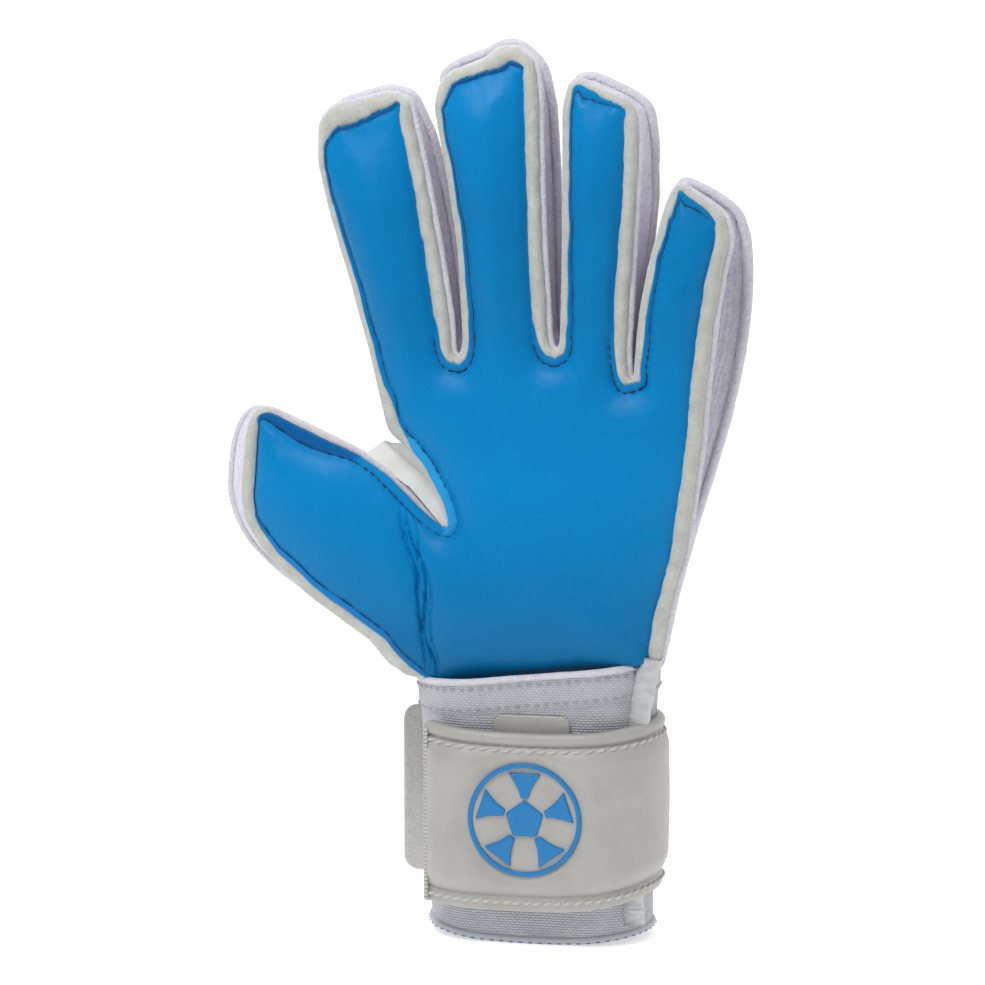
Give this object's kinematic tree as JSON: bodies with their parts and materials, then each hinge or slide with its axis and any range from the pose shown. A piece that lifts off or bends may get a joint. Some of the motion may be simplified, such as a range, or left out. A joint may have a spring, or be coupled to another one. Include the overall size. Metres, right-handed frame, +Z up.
{
  "type": "goalkeeper glove",
  "caption": "Left-hand goalkeeper's glove with a flat latex palm, foam-lined finger stalls, mesh gussets, an elastic cuff and a wrap-around wrist strap.",
  "frame": {"origin": "centre of the wrist opening, in the plane of the cuff's lower edge", "axes": "+Z up along the fingers, -Y out of the palm, +X towards the little finger"},
  "size_m": [0.176, 0.0558, 0.289],
  "materials": {
    "latex": "matte",
    "foam": "matte",
    "gusset": "matte",
    "back": "matte",
    "elastic": "matte",
    "hem_thread": "matte",
    "satin_binding": "satin",
    "hook_tape": "matte",
    "loop_tape": "matte",
    "strap": "satin",
    "emblem": "satin",
    "web": "matte"
  },
  "bodies": {
    "cuff": {"cuff_elastic": "elastic", "cuff_hem": "hem_thread", "slit_binding": "satin_binding", "hook_patch": "loop_tape", "loop_patch": "loop_tape", "strap_front": "strap", "strap_top_binding": "strap", "strap_side": "strap", "strap_emblem": "emblem"},
    "flap": {"strap_flap": "strap", "flap_hooks": "hook_tape"},
    "tab": {"pull_tab": "loop_tape"},
    "hand": {"wrist_band": "elastic", "wrist_binding": "satin_binding", "palm_latex": "latex", "palm_foam": "foam", "backhand": "back", "hand_gussets": "gusset", "thumb_web": "web"},
    "index_lower": {"index_lower_latex": "latex", "index_lower_foam": "foam", "index_lower_gusset": "gusset", "index_lower_back": "back"},
    "index_tip": {"index_tip_latex": "latex", "index_tip_foam": "foam", "index_tip_gusset": "gusset", "index_tip_back": "back"},
    "middle_lower": {"middle_lower_latex": "latex", "middle_lower_foam": "foam", "middle_lower_gusset": "gusset", "middle_lower_back": "back"},
    "middle_tip": {"middle_tip_latex": "latex", "middle_tip_foam": "foam", "middle_tip_gusset": "gusset", "middle_tip_back": "back"},
    "ring_lower": {"ring_lower_latex": "latex", "ring_lower_foam": "foam", "ring_lower_gusset": "gusset", "ring_lower_back": "back"},
    "ring_tip": {"ring_tip_latex": "latex", "ring_tip_foam": "foam", "ring_tip_gusset": "gusset", "ring_tip_back": "back"},
    "little_lower": {"little_lower_latex": "latex", "little_lower_foam": "foam", "little_lower_gusset": "gusset", "little_lower_back": "back"},
    "little_tip": {"little_tip_latex": "latex", "little_tip_foam": "foam", "little_tip_gusset": "gusset", "little_tip_back": "back"},
    "thumb_lower": {"thumb_lower_latex": "latex", "thumb_lower_foam": "foam", "thumb_lower_gusset": "gusset", "thumb_lower_back": "back"},
    "thumb_tip": {"thumb_tip_latex": "latex", "thumb_tip_foam": "foam", "thumb_tip_gusset": "gusset", "thumb_tip_back": "back"}
  },
  "joints": [
    {"name": "wrist_bend", "type": "hinge", "parent": "cuff", "child": "hand", "pos_m": [0, 0, 0.075], "axis": [1, 0, 0], "range_deg": [-25, 25]},
    {"name": "index_knuckle", "type": "hinge", "parent": "hand", "child": "index_lower", "pos_m": [0, -0.01, 0.2], "axis": [1, 0, 0], "range_deg": [-10, 70]},
    {"name": "index_joint", "type": "hinge", "parent": "index_lower", "child": "index_tip", "pos_m": [0, -0.01, 0.233], "axis": [1, 0, 0], "range_deg": [0, 70]},
    {"name": "middle_knuckle", "type": "hinge", "parent": "hand", "child": "middle_lower", "pos_m": [0, -0.01, 0.203], "axis": [1, 0, 0], "range_deg": [-10, 70]},
    {"name": "middle_joint", "type": "hinge", "parent": "middle_lower", "child": "middle_tip", "pos_m": [0, -0.01, 0.24], "axis": [1, 0, 0], "range_deg": [0, 70]},
    {"name": "ring_knuckle", "type": "hinge", "parent": "hand", "child": "ring_lower", "pos_m": [0, -0.01, 0.203], "axis": [1, 0, 0], "range_deg": [-10, 70]},
    {"name": "ring_joint", "type": "hinge", "parent": "ring_lower", "child": "ring_tip", "pos_m": [0, -0.01, 0.238], "axis": [1, 0, 0], "range_deg": [0, 70]},
    {"name": "little_knuckle", "type": "hinge", "parent": "hand", "child": "little_lower", "pos_m": [0, -0.01, 0.194], "axis": [1, 0, 0], "range_deg": [-10, 70]},
    {"name": "little_joint", "type": "hinge", "parent": "little_lower", "child": "little_tip", "pos_m": [0, -0.01, 0.217], "axis": [1, 0, 0], "range_deg": [0, 70]},
    {"name": "thumb_crease", "type": "hinge", "parent": "hand", "child": "thumb_lower", "pos_m": [-0.033, -0.01, 0.084], "axis": [-0.1392, 0, 0.9903], "range_deg": [-10, 50]},
    {"name": "thumb_joint", "type": "hinge", "parent": "thumb_lower", "child": "thumb_tip", "pos_m": [-0.077, -0.01, 0.137], "axis": [0.2419, 0, 0.9703], "range_deg": [0, 60]},
    {"name": "strap_opening", "type": "hinge", "parent": "cuff", "child": "flap", "pos_m": [0.015, 0.0246, 0.039], "axis": [0, 0, -1], "range_deg": [0, 135]},
    {"name": "tab_lift", "type": "hinge", "parent": "flap", "child": "tab", "pos_m": [-0.039, 0.0246, 0.039], "axis": [0, 0, -1], "range_deg": [0, 60]}
  ]
}
